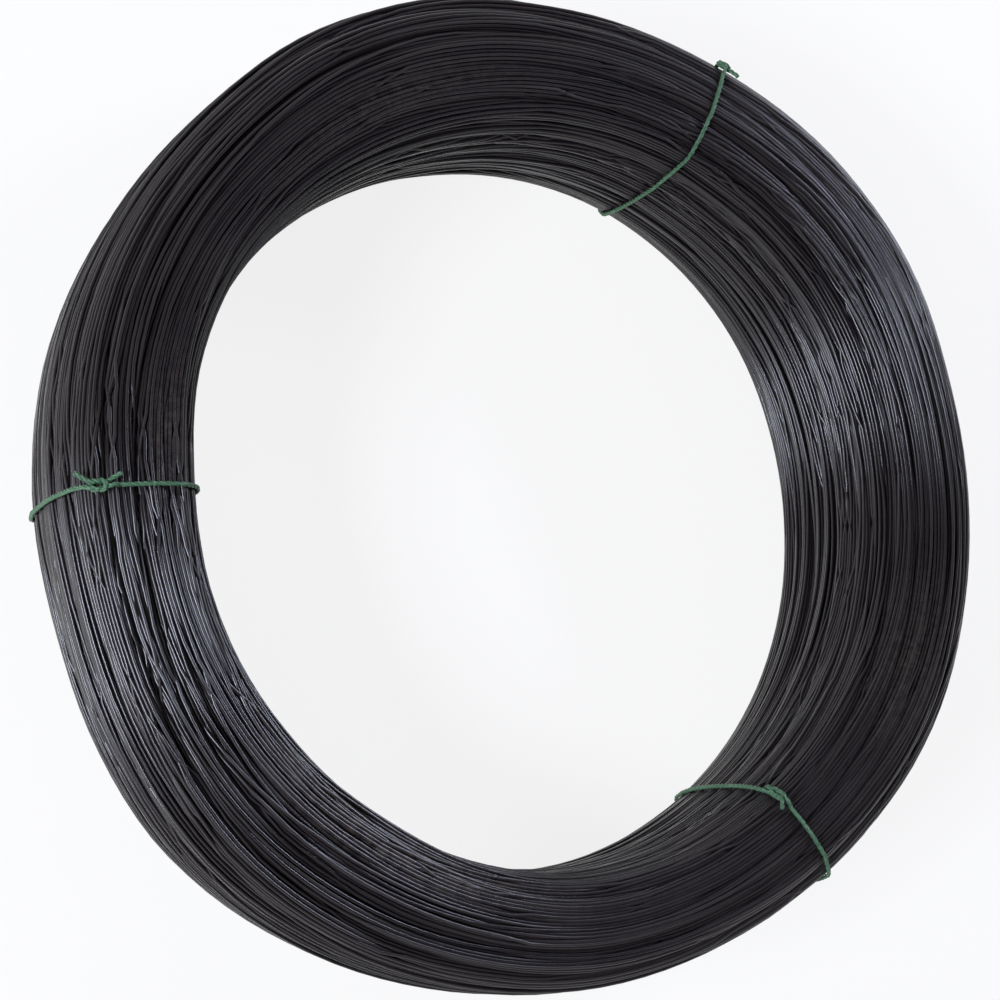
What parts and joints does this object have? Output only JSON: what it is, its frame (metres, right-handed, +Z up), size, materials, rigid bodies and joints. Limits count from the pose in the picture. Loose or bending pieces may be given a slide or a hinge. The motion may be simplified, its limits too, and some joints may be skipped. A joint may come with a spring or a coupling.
{
  "type": "coil of binding wire",
  "caption": "Loose-wound ring coil of soft black annealed steel tie wire, lying flat and held round its bundle by knotted twine ties.",
  "frame": {"origin": "on the coil's axis, at the level of the ground that the coil rests on", "axes": "+Z up along the coil's axis; +X and +Y lie in the plane of the coil, turned so that the three ties are at 66, 183 and 305 degrees from +X"},
  "size_m": [0.4318, 0.43, 0.1071],
  "materials": {
    "wire": "black annealed, dark oxide skin with a satin sheen",
    "twine": "matte, twisted fibres"
  },
  "bodies": {
    "root": {"wire_coil": "wire", "tie_1": "twine", "tie_2": "twine", "tie_3": "twine"}
  },
  "joints": []
}
